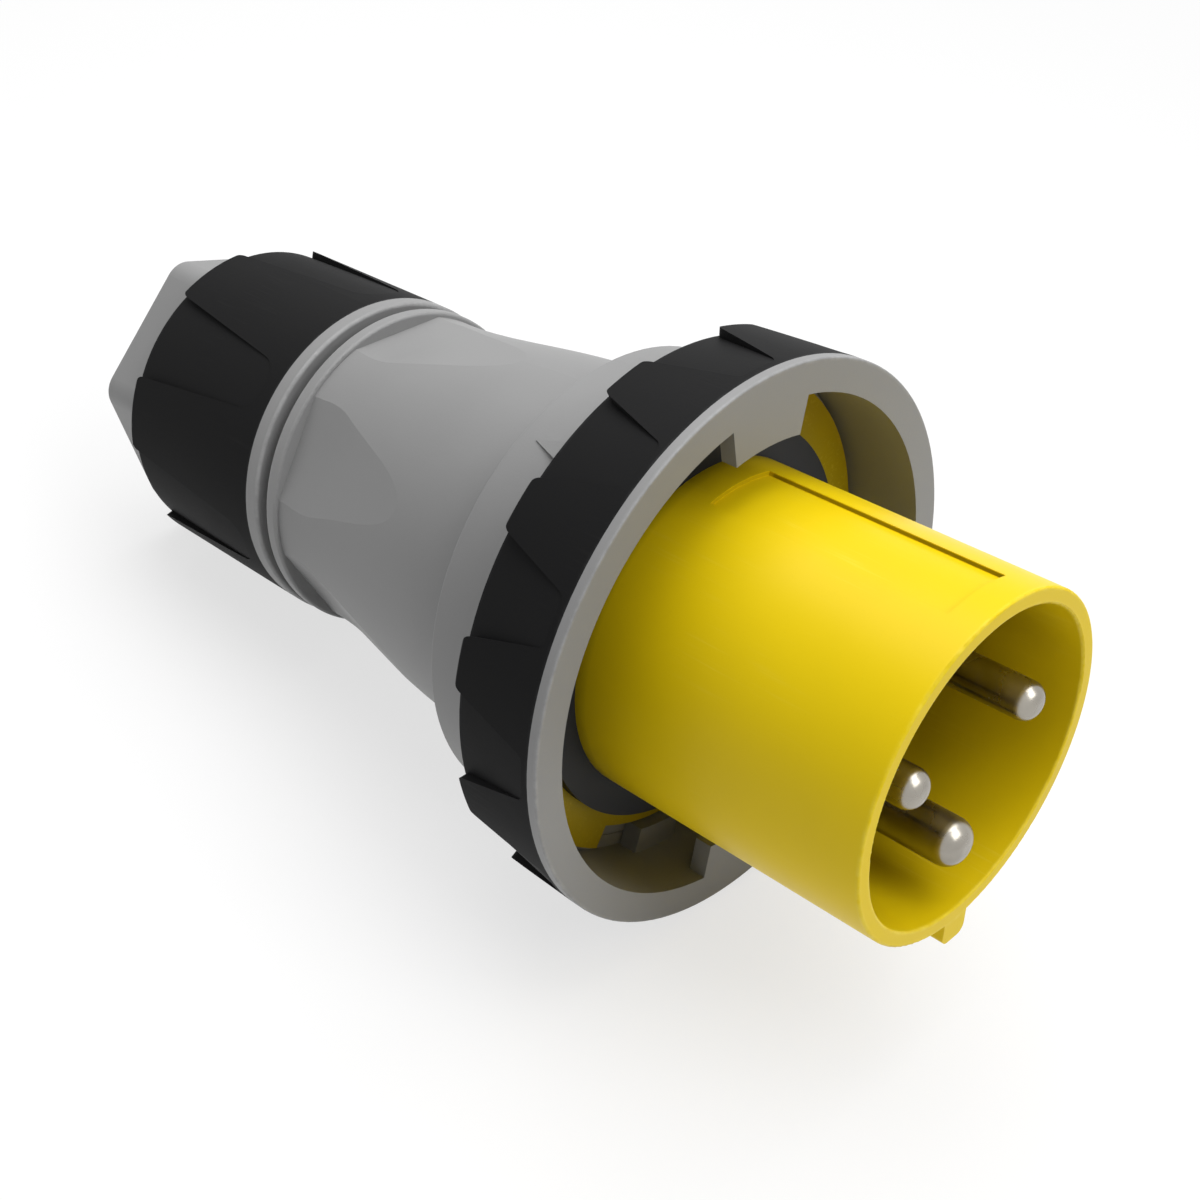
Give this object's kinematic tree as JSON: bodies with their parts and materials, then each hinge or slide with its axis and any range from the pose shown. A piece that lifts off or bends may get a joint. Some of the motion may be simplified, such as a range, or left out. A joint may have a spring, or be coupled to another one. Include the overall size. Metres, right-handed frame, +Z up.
{
  "type": "industrial plug",
  "caption": "Watertight industrial plug with a yellow shroud, round pins, a bayonet locking ring and a screwed cable gland, lying on its side.",
  "frame": {"origin": "under the middle of the plug, on the surface that it lies on", "axes": "+Z up; +X along the plug towards its pins, whose axis is tilted up by 8.83 degrees as the plug lies; +Y across"},
  "size_m": [0.2328, 0.1192, 0.1197],
  "materials": {
    "yellow_shell": "satin moulded, yellow",
    "grey_shell": "fine moulded texture, mid grey",
    "soft_grips": "soft matte, black",
    "seals": "smooth matte, black",
    "nickelled_pins": "nickel plated, turned",
    "screws": "zinc plated",
    "carrier": "moulded, dark grey",
    "cage": "natural nylon"
  },
  "bodies": {
    "plug_body": {"front_shroud": "yellow_shell", "line_pin_1": "nickelled_pins", "line_pin_2": "nickelled_pins", "earth_pin": "nickelled_pins", "line_1_terminal_screws": "screws", "line_2_terminal_screws": "screws", "earth_terminal_screws": "screws", "contact_carrier": "carrier", "carrier_screws": "screws", "face_gasket": "seals", "flange_seal": "seals", "flange_screws": "screws", "housing": "grey_shell", "housing_neck": "grey_shell", "cable_seal": "seals"},
    "locking_ring": {"locking_ring": "grey_shell", "ring_grip": "soft_grips"},
    "cable_clamp": {"clamp_cage": "cage", "slip_ring": "cage"},
    "gland_nut": {"gland_nut": "grey_shell", "nut_grip": "soft_grips"}
  },
  "joints": [
    {"name": "ring_turn", "type": "hinge", "parent": "plug_body", "child": "locking_ring", "pos_m": [0.05818, 0, 0.06082], "axis": [0.9882, 0, 0.1535], "range_deg": [-11.5, 33.5]},
    {"name": "clamp_slide", "type": "slide", "parent": "plug_body", "child": "cable_clamp", "axis": [0.9882, 0, 0.1535], "range_m": [-0.012, 0]},
    {"name": "nut_turn", "type": "hinge", "parent": "cable_clamp", "child": "gland_nut", "pos_m": [-0.04923, 0, 0.04414], "axis": [0.9882, 0, 0.1535], "range_deg": [-1440, 0]}
  ],
  "couplings": [
    {"joint": "clamp_slide", "follows": "nut_turn", "m_per_rad": 0.00047746}
  ]
}
